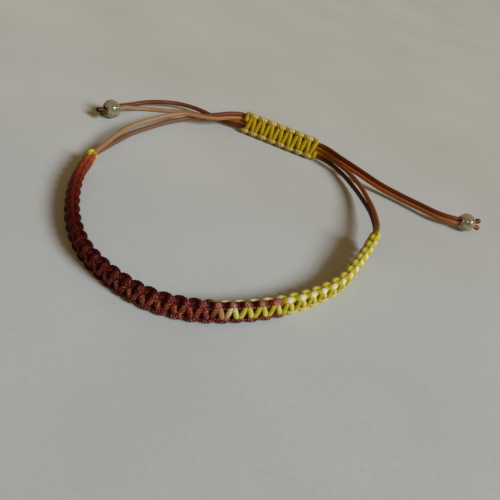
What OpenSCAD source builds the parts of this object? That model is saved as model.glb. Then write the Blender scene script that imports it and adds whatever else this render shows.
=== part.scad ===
/* [Knotted band] */
// Length that one square knot takes along the band
knot_pitch = 2.93; // [2.86:0.01:2.96]
// Number of square knots in the band
band_knots = 40; // [36:1:40]
// How many of them, from the left end, are worked in the dark cord
dark_knots = 24; // [18:1:28]
// Width of the band across the weave
band_width = 4.2; // [4:0.05:4.3]
// Thickness of the band through the weave
band_thickness = 2.7; // [2.6:0.05:2.8]

/* [Sliding knot] */
// Number of square knots in the sliding closure
slide_knots = 8; // [6:1:8]
// Width of the sliding knot, round four core cords in a row
slide_width = 6.3; // [6.2:0.05:6.4]
// How far the sliding knot leans back from upright
slide_lean = 22; // [18:1:24]

/* [Core cords] */
// Diameter of each of the two core cords
cord_d = 1.1; // [1:0.05:1.1]
// Distance between the middles of two core cords that lie side by side
cord_step = 1.16; // [1.14:0.01:1.18]
// How far the cut ends spread behind a bead
end_spread = 2.2; // [2:0.1:2.4]

/* [End beads] */
// Largest diameter of a bead
bead_d = 5; // [4.8:0.1:5]
// Length of a bead along its hole
bead_length = 4.2; // [4:0.1:4.2]
// Diameter of the hole that takes both cords
bead_bore = 2.46; // [2.44:0.01:2.6]
// Length of cord that stands out behind a bead
cord_end = 2.2; // [1.8:0.1:2.6]

/* [Hidden] */

UP = [0, 0, 1];
// Relief of the weave, as shares of the half width and half thickness
edge_low = 0.9;
corner_low = [0.78, 0.82];
corner_high = [0.88, 1];
face_low = 0.86;
face_high = 0.97;
face_reach = 0.42;
shoulder_reach = 0.35;
// Rings along each knot, and room left round the core cords
rings_per_knot = 8;
core_room = 0.1;
seam_gap = 0.1;
// Rings on the core cords: spacing outside the weave, and sides of a cord
free_step = 3;
cord_sides = 8;
end_swell = 1.22;

slide_length = slide_knots * knot_pitch;
slide_middle = [-5.6, 37.9, 3.1];
slide_heading = 173;
// Beads: middle, heading of the cords in them and lean of cord A there
bead_middle_right = [51.7, 24.9, 2.5];
bead_heading_right = 195;
bead_lean_right = -142;
bead_middle_left = [-52.4, 22.2, 2.5];
bead_heading_left = 240;
bead_lean_left = -90;
// How far the cords run straight out of the inner mouth of a bead
mouth_run = 0.8;

// Where the pair of core cords runs, from the tips at the right bead round the loop to the
// tips at the left bead. Each row is x, y, z, lean of cord A from upright, cord spacing.
right_tail = [
    [44, 23.9, 2.4, -142, cord_step],
    [38.4, 25.7, 2.15, -142, cord_step],
    [32.4, 27.6, 2.05, -142, cord_step],
    [26.2, 29.2, 2.4, -142, cord_step],
    [19.8, 31.3, 3.25, -148, cord_step],
    [13, 33.4, 4.2, -155, cord_step]
];
left_run = [
    [-21.4, 37.8, 4.35, -148, cord_step],
    [-25.3, 34.9, 3.95, -122, cord_step],
    [-29.4, 32.7, 3.5, -62, 1.3],
    [-33.4, 30.7, 3.1, -8, 1.7],
    [-37, 27.1, 2.8, 20, 1.8],
    [-40.8, 21.2, 2.5, 25, 1.95],
    [-43.8, 15.4, 2.3, 20, 1.95],
    [-45.3, 10.2, 2.22, 8, 1.95],
    [-46.4, 4.4, 2.22, -8, 1.6]
];
band_run = [
    [-47.2, -0.7, 2.22, -18, cord_step],
    [-46.9, -5.5, 2.22, -20, cord_step],
    [-46.3, -10.8, 2.22, -20, cord_step],
    [-43.7, -19, 2.2, -15, cord_step],
    [-39.7, -26.7, 2.17, -8, cord_step],
    [-34, -33.2, 2.13, -4, cord_step],
    [-26.5, -37.5, 2.14, -6, cord_step],
    [-18.2, -39.7, 2.16, -12, cord_step],
    [-9.5, -38.7, 2.21, -20, cord_step],
    [-1.6, -35.3, 2.22, -21, cord_step],
    [5.7, -30.6, 2.17, -14, cord_step],
    [12.1, -24.7, 2.2, -3, cord_step],
    [17.5, -18, 2.6, 2, cord_step],
    [20.9, -10, 3.2, 3, cord_step],
    [23.6, -1.8, 3.9, 2, cord_step]
];
right_run = [
    [24.7, 4.5, 4.3, 4, cord_step],
    [24.3, 8.9, 4, 8, cord_step],
    [23.4, 13.4, 3.6, 14, 1.2],
    [22, 18.2, 3, 18, 1.45],
    [20.3, 22.7, 2.6, 20, 1.7],
    [17.9, 27.2, 2.3, 22, 1.75],
    [14.9, 31.3, 2.1, 22, 1.5],
    [11.4, 34.2, 2, 22, 1.25]
];
left_tail = [
    [-21.4, 38.9, 1.9, 10, cord_step],
    [-25.2, 38.8, 1.75, -35, 1.3],
    [-29.5, 38.7, 1.55, -95, 1.8],
    [-33.7, 38.8, 1.35, -120, 2.1],
    [-37.7, 37.6, 1.34, -124, 2.6],
    [-41.7, 35.3, 1.37, -124, 2.7],
    [-45.6, 33, 1.2, -120, 2.3],
    [-48.8, 30.1, 1.15, -105, 1.6]
];

function unit(v) = v / norm(v);
function along(heading) = [cos(heading), sin(heading), 0];
function out_of(direction) = unit(cross(direction, UP));
function leaning(direction, lean) = let (out = out_of(direction))
    cross(out, direction) * cos(lean) + out * sin(lean);

// Places along the sliding knot, as shares of its length, that hold the cords straight in it
slide_shares = [-0.04, 0, 0.5, 1, 1.04];

// Rows for a straight pass: distances from a point along a heading, at one lean and spacing
function straight(from, heading, steps, lean, spacings) = [
    for (i = [0 : len(steps) - 1]) concat(from + steps[i] * along(heading), [lean, spacings[i]])
];
slide_start = slide_middle - slide_length / 2 * along(slide_heading);
function through_slide(height, lean) = straight(
    slide_start + height * leaning(along(slide_heading), slide_lean),
    slide_heading, slide_shares * slide_length, lean, [for (share = slide_shares) cord_step]);

bead_reach = bead_length / 2;
bead_steps = [-bead_reach - cord_end, -bead_reach, bead_reach, bead_reach + mouth_run];
bead_spacings = [end_spread, cord_step, cord_step, cord_step];
route = concat(
    straight(bead_middle_right, bead_heading_right, bead_steps, bead_lean_right, bead_spacings),
    right_tail,
    through_slide(cord_step, slide_lean - 180),
    left_run,
    band_run,
    right_run,
    through_slide(-cord_step, slide_lean),
    left_tail,
    straight(
        bead_middle_left, bead_heading_left, -reverse(bead_steps), bead_lean_left, reverse(bead_spacings)));
last = len(route) - 1;

function reverse(list) = [for (i = [len(list) - 1 : -1 : 0]) list[i]];
function place(row) = [row.x, row.y, row.z];
function gap_after(i) = norm(place(route[i + 1]) - place(route[i]));

// Smooth curve through the rows, with slopes weighted by the distances on both sides
function slope(i) =
    i == 0 ? (route[1] - route[0]) / gap_after(0)
    : i == last ? (route[last] - route[last - 1]) / gap_after(last - 1)
    : (gap_after(i) ^ 2 * (route[i] - route[i - 1]) + gap_after(i - 1) ^ 2 * (route[i + 1] - route[i]))
        / (gap_after(i) * gap_after(i - 1) * (gap_after(i) + gap_after(i - 1)));
function curve(i, u) =
    (2 * u ^ 3 - 3 * u ^ 2 + 1) * route[i] + (3 * u ^ 2 - 2 * u ^ 3) * route[i + 1]
    + gap_after(i) * ((u ^ 3 - 2 * u ^ 2 + u) * slope(i) + (u ^ 3 - u ^ 2) * slope(i + 1));

curve_steps = 10;
samples = [for (i = [0 : last - 1]) for (k = [0 : curve_steps - 1]) curve(i, k / curve_steps), route[last]];
reach = [
    for (i = 0, s = 0; i < len(samples);
        s = s + (i + 1 < len(samples) ? norm(place(samples[i + 1]) - place(samples[i])) : 0), i = i + 1) s
];
tables = [for (column = [0 : 4]) [for (i = [0 : len(samples) - 1]) [reach[i], samples[i][column]]]];
route_length = reach[len(reach) - 1];
function row_at(s) = [for (table = tables) lookup(s, table)];
function reach_of(index) = reach[index * curve_steps];

// Frame of the pair at a distance along the route: middle, direction, width and outward axes
tangent_reach = 0.4;
function direction_at(s) = unit(place(row_at(min(s + tangent_reach, route_length)))
    - place(row_at(max(s - tangent_reach, 0))));
function frame_at(s) = let (row = row_at(s), direction = direction_at(s), width = leaning(direction, row[3]))
    [place(row), direction, width, cross(direction, width), max(row[4], cord_step)];

// Twelve points round one ring of weave, as width and outward shares of the half sizes.
// The bumps of the edge sit in front at whole knots and behind at half knots.
function weave_corner(across, outward, bump) = let (corner = corner_low + (corner_high - corner_low) * bump) [
    [across * (edge_low + (1 - edge_low) * bump), outward * shoulder_reach],
    [across * corner.x, outward * corner.y]
];
function weave_ring(phase) = let (
    front = 0.5 + 0.5 * cos(360 * phase),
    back = 1 - front,
    face = face_low + (face_high - face_low) * (0.5 - 0.5 * cos(720 * phase))
) concat(
    weave_corner(1, 1, front),
    [[face_reach, face], [-face_reach, face]],
    reverse(weave_corner(-1, 1, back)),
    weave_corner(-1, -1, front),
    [[-face_reach, -face], [face_reach, -face]],
    reverse(weave_corner(1, -1, back)));

// Six points along one face of the channel, whose corners follow the round of the outer cords
channel_cut = 0.26;
channel_flat = 0.34;
channel_shoulder = 0.42;
function channel_ring(half_width, half_thickness) = let (
    cut = 1 - channel_cut / half_width,
    corners = [[1, channel_shoulder], [cut, 0.95], [channel_flat, 1], [-channel_flat, 1], [-cut, 0.95],
        [-1, channel_shoulder]]
) concat(
    [for (corner = corners) [corner.x * half_width, corner.y * half_thickness]],
    [for (corner = corners) [-corner.x * half_width, -corner.y * half_thickness]]);
function placed(ring, frame) = [for (point = ring) frame[0] + point.x * frame[2] + point.y * frame[3]];
function scaled(ring, size) = [for (point = ring) [point.x * size.x, point.y * size.y]];

function wall(first, rings, sides, outward) = [
    for (j = [0 : rings - 2]) for (i = [0 : sides - 1]) let (
        a = first + j * sides + i,
        b = first + j * sides + (i + 1) % sides,
        corners = outward ? [a, a + sides, b + sides, b] : [a, b, b + sides, a + sides]
    ) each [[corners[0], corners[1], corners[2]], [corners[0], corners[2], corners[3]]]
];
function rim(outer, inner, sides, at_start) = [
    for (i = [0 : sides - 1]) let (
        k = (i + 1) % sides,
        corners = at_start
            ? [outer + i, outer + k, inner + k, inner + i]
            : [outer + i, inner + i, inner + k, outer + k]
    ) each [[corners[0], corners[1], corners[2]], [corners[0], corners[2], corners[3]]]
];

// Knotted sleeve round its core: outer weave rings and a channel, both swept along frames
module sleeve(weave_frames, phases, channel_frames, size, core_width) {
    sides = 12;
    channel = channel_ring(core_width / 2 + core_room, cord_d / 2 + core_room);
    outside = [for (i = [0 : len(phases) - 1])
        each placed(scaled(weave_ring(phases[i]), size / 2), weave_frames[i])];
    inside = [for (frame = channel_frames) each placed(channel, frame)];
    first_inner = len(outside);
    polyhedron(
        points = concat(outside, inside),
        faces = concat(
            wall(0, len(phases), sides, true),
            wall(first_inner, len(channel_frames), sides, false),
            rim(0, first_inner, sides, true),
            rim(first_inner - sides, first_inner + len(inside) - sides, sides, false)));
}

band_start = reach_of(len(bead_steps) + len(right_tail) + len(slide_shares) + len(left_run));
function band_reach(knots) = band_start + knots * knot_pitch;
function core_stations(from, to) = concat([from], spread(from, to, core_step));

module band(from_knot, to_knot, start_gap) {
    ring_count = (to_knot - from_knot) * rings_per_knot;
    from = band_reach(from_knot) + start_gap;
    to = band_reach(to_knot);
    sleeve(
        [for (k = [0 : ring_count]) frame_at(from + k * (to - from) / ring_count)],
        [for (k = [0 : ring_count]) k / rings_per_knot + 0.5],
        [for (s = core_stations(from, to)) frame_at(s)],
        [band_width, band_thickness], cord_step + cord_d);
}

module band_dark() { color("#5a1a10") band(0, dark_knots, 0); }
module band_yellow() { color("#b8a02c") band(dark_knots, band_knots, seam_gap); }

module slide_knot() {
    direction = along(slide_heading);
    width = leaning(direction, slide_lean);
    ring_count = slide_knots * rings_per_knot;
    frames = [for (k = [0 : ring_count])
        [slide_start + k / ring_count * slide_length * direction, direction, width, cross(direction, width)]];
    color("#b0a018") sleeve(
        frames, [for (k = [0 : ring_count]) k / rings_per_knot + 0.5], [frames[0], frames[ring_count]],
        [slide_width, band_thickness], 3 * cord_step + cord_d);
}

// Cut ends of a core cord, rounded and slightly swollen: distance from the tip, share of the radius
end_shape = [[0, 0.6], [0.22, 1.1], [0.6, end_swell], [1.1, end_swell * 0.95]];
core_from = cord_end;
core_to = route_length - cord_end;
// Places where a ring is due: bead mouths, both ends of the sliding knot and ends of the bands
right_mouth = len(bead_steps) - 1;
tail_pass = right_mouth + len(right_tail) + 1;
run_pass = tail_pass + len(slide_shares) + len(left_run) + len(band_run) + len(right_run);
slide_end = len(slide_shares) - 1;
cord_stops = [
    core_from,
    reach_of(right_mouth),
    reach_of(tail_pass),
    reach_of(tail_pass + slide_end),
    band_start,
    band_reach(dark_knots),
    band_reach(band_knots),
    reach_of(run_pass),
    reach_of(run_pass + slide_end),
    reach_of(last - right_mouth),
    core_to
];
core_step = 2 * knot_pitch;
cord_strides = [
    bead_length, free_step, slide_length, free_step, core_step,
    core_step, free_step, slide_length, free_step, bead_length
];
function spread(from, to, stride) = let (steps = ceil((to - from) / stride - 0.01))
    [for (k = [1 : steps]) from + k * (to - from) / steps];
cord_stations = [core_from, for (leg = [0 : len(cord_strides) - 1])
    each spread(cord_stops[leg], cord_stops[leg + 1], cord_strides[leg])];
cord_rings = concat(
    end_shape,
    [for (s = cord_stations) [s, 1]],
    [for (row = reverse(end_shape)) [route_length - row[0], row[1]]]);
function circle_ring(radius) = [for (i = [0 : cord_sides - 1]) radius * along(360 * i / cord_sides)];

// One core cord, swept at its side of the pair
module core_cord(side) {
    points = [
        for (ring = cord_rings) let (
            frame = frame_at(ring[0]),
            middle = frame[0] + side * frame[4] / 2 * frame[2]
        ) each placed(circle_ring(ring[1] * cord_d / 2), [middle, frame[1], frame[2], frame[3]])
    ];
    top = len(points) - cord_sides;
    polyhedron(
        points = points,
        faces = concat(
            [[for (i = [0 : cord_sides - 1]) i]],
            wall(0, len(cord_rings), cord_sides, true),
            [[for (i = [cord_sides - 1 : -1 : 0]) top + i]]));
}

module core_cord_a() { color("#a06a40") core_cord(1); }
module core_cord_b() { color("#5c3a24") core_cord(-1); }

// Round bead with a straight hole and flat rims, its hole along a heading
module bead(middle, heading) {
    translate(middle)
        rotate([0, 90, heading])
            rotate_extrude($fn = 48)
                intersection() {
                    circle(d = bead_d, $fn = 48);
                    translate([bead_bore / 2, -bead_length / 2])
                        square([bead_d / 2, bead_length]);
                }
}

module bead_right() { color("#a89c78") bead(bead_middle_right, bead_heading_right); }
module bead_left() { color("#a89c78") bead(bead_middle_left, bead_heading_left); }

band_dark();
band_yellow();
slide_knot();
core_cord_a();
core_cord_b();
bead_right();
bead_left();
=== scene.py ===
"""Knotted cord bracelet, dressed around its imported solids.

A band of square knots on two core cords, closed by a sliding knot, with a bead on each pair of tails.
Lengths are in metres, in the frame of the solids.
"""
from __future__ import annotations

import logging
import math
from dataclasses import dataclass
from enum import Enum
from typing import Callable, Sequence, Union

import bpy
import numpy as np
from bpy.types import Material, Object
from mathutils import Matrix, Vector


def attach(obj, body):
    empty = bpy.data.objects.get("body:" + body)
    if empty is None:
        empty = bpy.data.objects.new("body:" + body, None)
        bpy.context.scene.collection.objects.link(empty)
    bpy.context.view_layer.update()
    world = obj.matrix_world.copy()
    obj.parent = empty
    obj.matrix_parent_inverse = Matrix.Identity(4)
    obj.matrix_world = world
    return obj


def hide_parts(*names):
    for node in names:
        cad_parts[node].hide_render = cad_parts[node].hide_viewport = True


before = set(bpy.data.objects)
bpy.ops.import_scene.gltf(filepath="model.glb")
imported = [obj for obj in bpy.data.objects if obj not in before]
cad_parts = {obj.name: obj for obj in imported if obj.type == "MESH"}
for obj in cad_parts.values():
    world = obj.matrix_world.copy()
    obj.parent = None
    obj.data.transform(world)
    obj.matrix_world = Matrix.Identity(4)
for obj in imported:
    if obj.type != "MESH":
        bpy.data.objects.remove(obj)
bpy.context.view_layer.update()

LOG = logging.getLogger("bracelet")

BODY = "root"
BAKE_MAP = "OFBake"
SEED = 11

# Core cords, beads and knots, as in the solids
CORD_STEP = 0.00116
KNOT_PITCH = 0.00293
BAND_KNOTS = 40
DARK_KNOTS = 24
SLIDE_KNOTS = 8
SLIDE_MIDDLE = (-0.0056, 0.0379, 0.0031)
SLIDE_HEADING = 173.0
SLIDE_LEAN = 22.0
BEAD_DIAMETER = 0.005
BEAD_LENGTH = 0.0042
BEAD_BORE = 0.00246
CORD_END = 0.0022
END_SPREAD = 0.0022
MOUTH_RUN = 0.0008

# Route of the pair of core cords, from the tips at the right bead round the loop to the left bead.
# Each row is x, y, z, the lean of cord A from upright in degrees and, where they lie apart, the
# spacing of the two cords.
RouteRows = tuple[tuple[float, ...], ...]
ROUTE_COLUMNS = 5
RIGHT_TAIL: RouteRows = (
    (0.0440, 0.0239, 0.0024, -142), (0.0384, 0.0257, 0.00215, -142),
    (0.0324, 0.0276, 0.00205, -142), (0.0262, 0.0292, 0.0024, -142),
    (0.0198, 0.0313, 0.00325, -148), (0.0130, 0.0334, 0.0042, -155),
)
LEFT_RUN: RouteRows = (
    (-0.0214, 0.0378, 0.00435, -148), (-0.0253, 0.0349, 0.00395, -122),
    (-0.0294, 0.0327, 0.0035, -62, 0.0013), (-0.0334, 0.0307, 0.0031, -8, 0.0017),
    (-0.0370, 0.0271, 0.0028, 20, 0.0018), (-0.0408, 0.0212, 0.0025, 25, 0.00195),
    (-0.0438, 0.0154, 0.0023, 20, 0.00195), (-0.0453, 0.0102, 0.00222, 8, 0.00195),
    (-0.0464, 0.0044, 0.00222, -8, 0.0016),
)
BAND_RUN: RouteRows = (
    (-0.0472, -0.0007, 0.00222, -18), (-0.0469, -0.0055, 0.00222, -20),
    (-0.0463, -0.0108, 0.00222, -20), (-0.0437, -0.0190, 0.0022, -15),
    (-0.0397, -0.0267, 0.00217, -8), (-0.0340, -0.0332, 0.00213, -4),
    (-0.0265, -0.0375, 0.00214, -6), (-0.0182, -0.0397, 0.00216, -12),
    (-0.0095, -0.0387, 0.00221, -20), (-0.0016, -0.0353, 0.00222, -21),
    (0.0057, -0.0306, 0.00217, -14), (0.0121, -0.0247, 0.0022, -3),
    (0.0175, -0.0180, 0.0026, 2), (0.0209, -0.0100, 0.0032, 3),
    (0.0236, -0.0018, 0.0039, 2),
)
RIGHT_RUN: RouteRows = (
    (0.0247, 0.0045, 0.0043, 4), (0.0243, 0.0089, 0.0040, 8),
    (0.0234, 0.0134, 0.0036, 14, 0.0012), (0.0220, 0.0182, 0.0030, 18, 0.00145),
    (0.0203, 0.0227, 0.0026, 20, 0.0017), (0.0179, 0.0272, 0.0023, 22, 0.00175),
    (0.0149, 0.0313, 0.0021, 22, 0.0015), (0.0114, 0.0342, 0.0020, 22, 0.00125),
)
LEFT_TAIL: RouteRows = (
    (-0.0214, 0.0389, 0.0019, 10), (-0.0252, 0.0388, 0.00175, -35, 0.0013),
    (-0.0295, 0.0387, 0.00155, -95, 0.0018), (-0.0337, 0.0388, 0.00135, -120, 0.0021),
    (-0.0377, 0.0376, 0.00134, -124, 0.0026), (-0.0417, 0.0353, 0.00137, -124, 0.0027),
    (-0.0456, 0.0330, 0.0012, -120, 0.0023), (-0.0488, 0.0301, 0.00115, -105, 0.0016),
)

Array = np.ndarray
Point = tuple[float, float, float]
Colour = tuple[float, float, float]
Shade = tuple[int, ...]


def display(*shade: int) -> Colour:
    """Linear colour of a shade given as it looks on a screen.

    Args:
        *shade: Red, green and blue, from 0 to 255.

    Returns:
        The linear red, green and blue.
    """
    shares = [channel / 255 for channel in shade]
    red, green, blue = [v / 12.92 if v <= 0.04045 else ((v + 0.055) / 1.055) ** 2.4 for v in shares]
    return red, green, blue


def heading_vector(heading: float) -> Array:
    """Level unit vector along a heading, in degrees from +X."""
    angle = math.radians(heading)
    return np.array([math.cos(angle), math.sin(angle), 0.0])


def units(vectors: Array) -> Array:
    """The vectors, each scaled to length 1."""
    return vectors / np.linalg.norm(vectors, axis=-1, keepdims=True)


def reaches(points: Array) -> Array:
    """Distance along a line of points to each of them."""
    return np.concatenate([[0.0], np.cumsum(np.linalg.norm(np.diff(points, axis=0), axis=1))])


def smooth_step(value: Array, low: float, high: float) -> Array:
    """Smooth rise from 0 at low to 1 at high."""
    share = np.clip((value - low) / (high - low), 0, 1)
    return share * share * (3 - 2 * share)


# Carriers: what the cords and knots follow


@dataclass(frozen=True)
class Frames:
    """Places along a carrier, with the axes that go across and out of it there."""

    middle: Array
    across: Array
    outward: Array
    spacing: Array

    def place(self, across: Array, outward: Array) -> Array:
        """Points at those distances across and out of the carrier, one for each place."""
        return self.middle + across[:, None] * self.across + outward[:, None] * self.outward


def leaning(along: Array, lean: Array) -> Array:
    """Axes square to along that lean outward from upright.

    Args:
        along: Unit directions, a row each.
        lean: Lean from upright towards the outside, in degrees.

    Returns:
        Unit vectors, a row each.
    """
    out = units(np.cross(along, [0.0, 0.0, 1.0]))
    angle = np.radians(lean)[:, None]
    return np.cross(out, along) * np.cos(angle) + out * np.sin(angle)


class Route:
    """Curve that the pair of core cords follows, measured by distance along it."""

    STEPS = 30
    TANGENT_REACH = 0.0004

    def __init__(self, rows: Sequence[Sequence[float]]) -> None:
        """Runs a smooth curve through the rows.

        Args:
            rows: x, y, z, lean and spacing of the cords at each point of the route.
        """
        table = np.array(rows, float)
        gaps = np.linalg.norm(np.diff(table[:, :3], axis=0), axis=1)
        chords = np.diff(table, axis=0) / gaps[:, None]
        before, after = gaps[:-1, None], gaps[1:, None]
        inner = (after * chords[:-1] + before * chords[1:]) / (before + after)
        slopes = np.vstack([chords[:1], inner, chords[-1:]])
        share = (np.arange(self.STEPS) / self.STEPS)[:, None]
        square, cube = share**2, share**3
        pieces = [
            (2 * cube - 3 * square + 1) * table[i]
            + (3 * square - 2 * cube) * table[i + 1]
            + gap * ((cube - 2 * square + share) * slopes[i] + (cube - square) * slopes[i + 1])
            for i, gap in enumerate(gaps)
        ]
        self.samples = np.vstack([*pieces, table[-1:]])
        self.reach = reaches(self.samples[:, :3])

    @property
    def length(self) -> float:
        """Whole length of the route."""
        return float(self.reach[-1])

    def distance_to(self, row: int) -> float:
        """Distance along the route to one of its rows."""
        return float(self.reach[row * self.STEPS])

    def rows_at(self, distance: Array) -> Array:
        """The route's columns at those distances."""
        return np.stack([np.interp(distance, self.reach, column) for column in self.samples.T], axis=1)

    def frames(self, distance: Array) -> Frames:
        """Frames of the pair of cords.

        Args:
            distance: Distances along the route.

        Returns:
            The frames there.
        """
        row = self.rows_at(distance)
        ahead = self.rows_at(np.minimum(distance + self.TANGENT_REACH, self.length))
        behind = self.rows_at(np.maximum(distance - self.TANGENT_REACH, 0))
        along = units(ahead[:, :3] - behind[:, :3])
        across = leaning(along, row[:, 3])
        return Frames(row[:, :3], across, np.cross(along, across), np.maximum(row[:, 4], CORD_STEP))


@dataclass(frozen=True)
class StraightCarrier:
    """Straight line that a knot follows, or a stretch of the route."""

    start: Point
    heading: float
    lean: float

    def frames(self, distance: Array) -> Frames:
        """Frames of the line.

        Args:
            distance: Distances from its start.

        Returns:
            The frames there.
        """
        along = np.tile(heading_vector(self.heading), (len(distance), 1))
        across = leaning(along, np.full(len(distance), self.lean))
        middle = np.array(self.start) + distance[:, None] * along
        return Frames(middle, across, np.cross(along, across), np.full(len(distance), CORD_STEP))

    def rows(self, steps: Sequence[float], gaps: Sequence[float]) -> list[list[float]]:
        """Rows of the route at distances from the start, with the spacing of the cords at each."""
        along = heading_vector(self.heading)
        return [[*(np.array(self.start) + step * along), self.lean, gap] for step, gap in zip(steps, gaps)]


Carrier = Union[Route, StraightCarrier]


class Anchor(Enum):
    """Places on the route that rows are counted from."""

    RIGHT_TIP = "tip at the right bead"
    RIGHT_SLIDE = "right end of the sliding knot"
    BAND_START = "left end of the band"
    BAND_END = "right end of the band"
    LEFT_SLIDE = "left end of the sliding knot"
    LEFT_TIP = "tip at the left bead"


@dataclass(frozen=True)
class Layout:
    """The whole route of the core cords, and where the knots and beads come on it."""

    bead_right: StraightCarrier = StraightCarrier((0.0517, 0.0249, 0.0025), 195.0, -142.0)
    bead_left: StraightCarrier = StraightCarrier((-0.0524, 0.0222, 0.0025), 240.0, -90.0)
    slide_shares: tuple[float, ...] = (-0.04, 0, 0.5, 1, 1.04)

    @property
    def bead_steps(self) -> list[float]:
        """Distances from the middle of a bead to the rows of the route in it, from the tips inwards."""
        reach = BEAD_LENGTH / 2
        return [-reach - CORD_END, -reach, reach, reach + MOUTH_RUN]

    @property
    def slide_length(self) -> float:
        """Length of the sliding knot."""
        return SLIDE_KNOTS * KNOT_PITCH

    @property
    def slide(self) -> StraightCarrier:
        """Middle line of the sliding knot."""
        start = np.array(SLIDE_MIDDLE) - self.slide_length / 2 * heading_vector(SLIDE_HEADING)
        return StraightCarrier(tuple(start), SLIDE_HEADING, SLIDE_LEAN)

    def _spaced(self, rows: RouteRows) -> list[list[float]]:
        """The rows, all with a spacing."""
        return [[*row, CORD_STEP][:ROUTE_COLUMNS] for row in rows]

    def _through_slide(self, height: float, lean: float) -> list[list[float]]:
        """Rows of one pass through the sliding knot.

        Args:
            height: Place of the pass across the knot.
            lean: Lean of cord A from upright, in degrees.

        Returns:
            The rows.
        """
        ends = self.slide.frames(np.array([0.0]))
        start = ends.middle[0] + height * ends.across[0]
        steps = [share * self.slide_length for share in self.slide_shares]
        return StraightCarrier(tuple(start), SLIDE_HEADING, lean).rows(steps, [CORD_STEP] * len(steps))

    def rows(self) -> list[list[float]]:
        """The whole route.

        Returns:
            Its rows, in order.
        """
        steps = self.bead_steps
        gaps = [END_SPREAD] + [CORD_STEP] * (len(steps) - 1)
        return [
            *self.bead_right.rows(steps, gaps),
            *self._spaced(RIGHT_TAIL),
            *self._through_slide(CORD_STEP, SLIDE_LEAN - 180),
            *self._spaced(LEFT_RUN + BAND_RUN + RIGHT_RUN),
            *self._through_slide(-CORD_STEP, SLIDE_LEAN),
            *self._spaced(LEFT_TAIL),
            *self.bead_left.rows([-step for step in reversed(steps)], gaps[::-1]),
        ]

    def row_of(self, anchor: Anchor) -> int:
        """Row of the route at an anchor.

        Args:
            anchor: The anchor.

        Returns:
            Number of the row.
        """
        slide = len(self.bead_steps) + len(RIGHT_TAIL)
        band = slide + len(self.slide_shares) + len(LEFT_RUN)
        slide_again = band + len(BAND_RUN) + len(RIGHT_RUN)
        rows = {
            Anchor.RIGHT_TIP: 0,
            Anchor.RIGHT_SLIDE: slide + self.slide_shares.index(0),
            Anchor.BAND_START: band,
            Anchor.BAND_END: band + len(BAND_RUN) - 1,
            Anchor.LEFT_SLIDE: slide_again + self.slide_shares.index(1),
            Anchor.LEFT_TIP: len(self.rows()) - 1,
        }
        return rows[anchor]


# Shader graphs


class Socket:
    """Output socket that takes part in Python expressions, each of which adds a Math node."""

    def __init__(self, graph: Graph, socket: bpy.types.NodeSocket) -> None:
        """Wraps a socket of a graph."""
        self.graph = graph
        self.socket = socket

    def _math(self, operation: str, *values: Value) -> Socket:
        """Result of a Math node on the values."""
        settings = {"operation": operation}
        return self.graph.node("ShaderNodeMath", settings, dict(enumerate(values)))

    def __add__(self, other: Value) -> Socket:
        """Sum."""
        return self._math("ADD", self, other)

    def __radd__(self, other: Value) -> Socket:
        """Sum, from the right."""
        return self._math("ADD", other, self)

    def __sub__(self, other: Value) -> Socket:
        """Difference."""
        return self._math("SUBTRACT", self, other)

    def __rsub__(self, other: Value) -> Socket:
        """Difference, from the right."""
        return self._math("SUBTRACT", other, self)

    def __mul__(self, other: Value) -> Socket:
        """Product."""
        return self._math("MULTIPLY", self, other)

    def __rmul__(self, other: Value) -> Socket:
        """Product, from the right."""
        return self._math("MULTIPLY", other, self)


Value = Union[Socket, float, Sequence[float]]
Inputs = dict[Union[str, int], Value]


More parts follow.
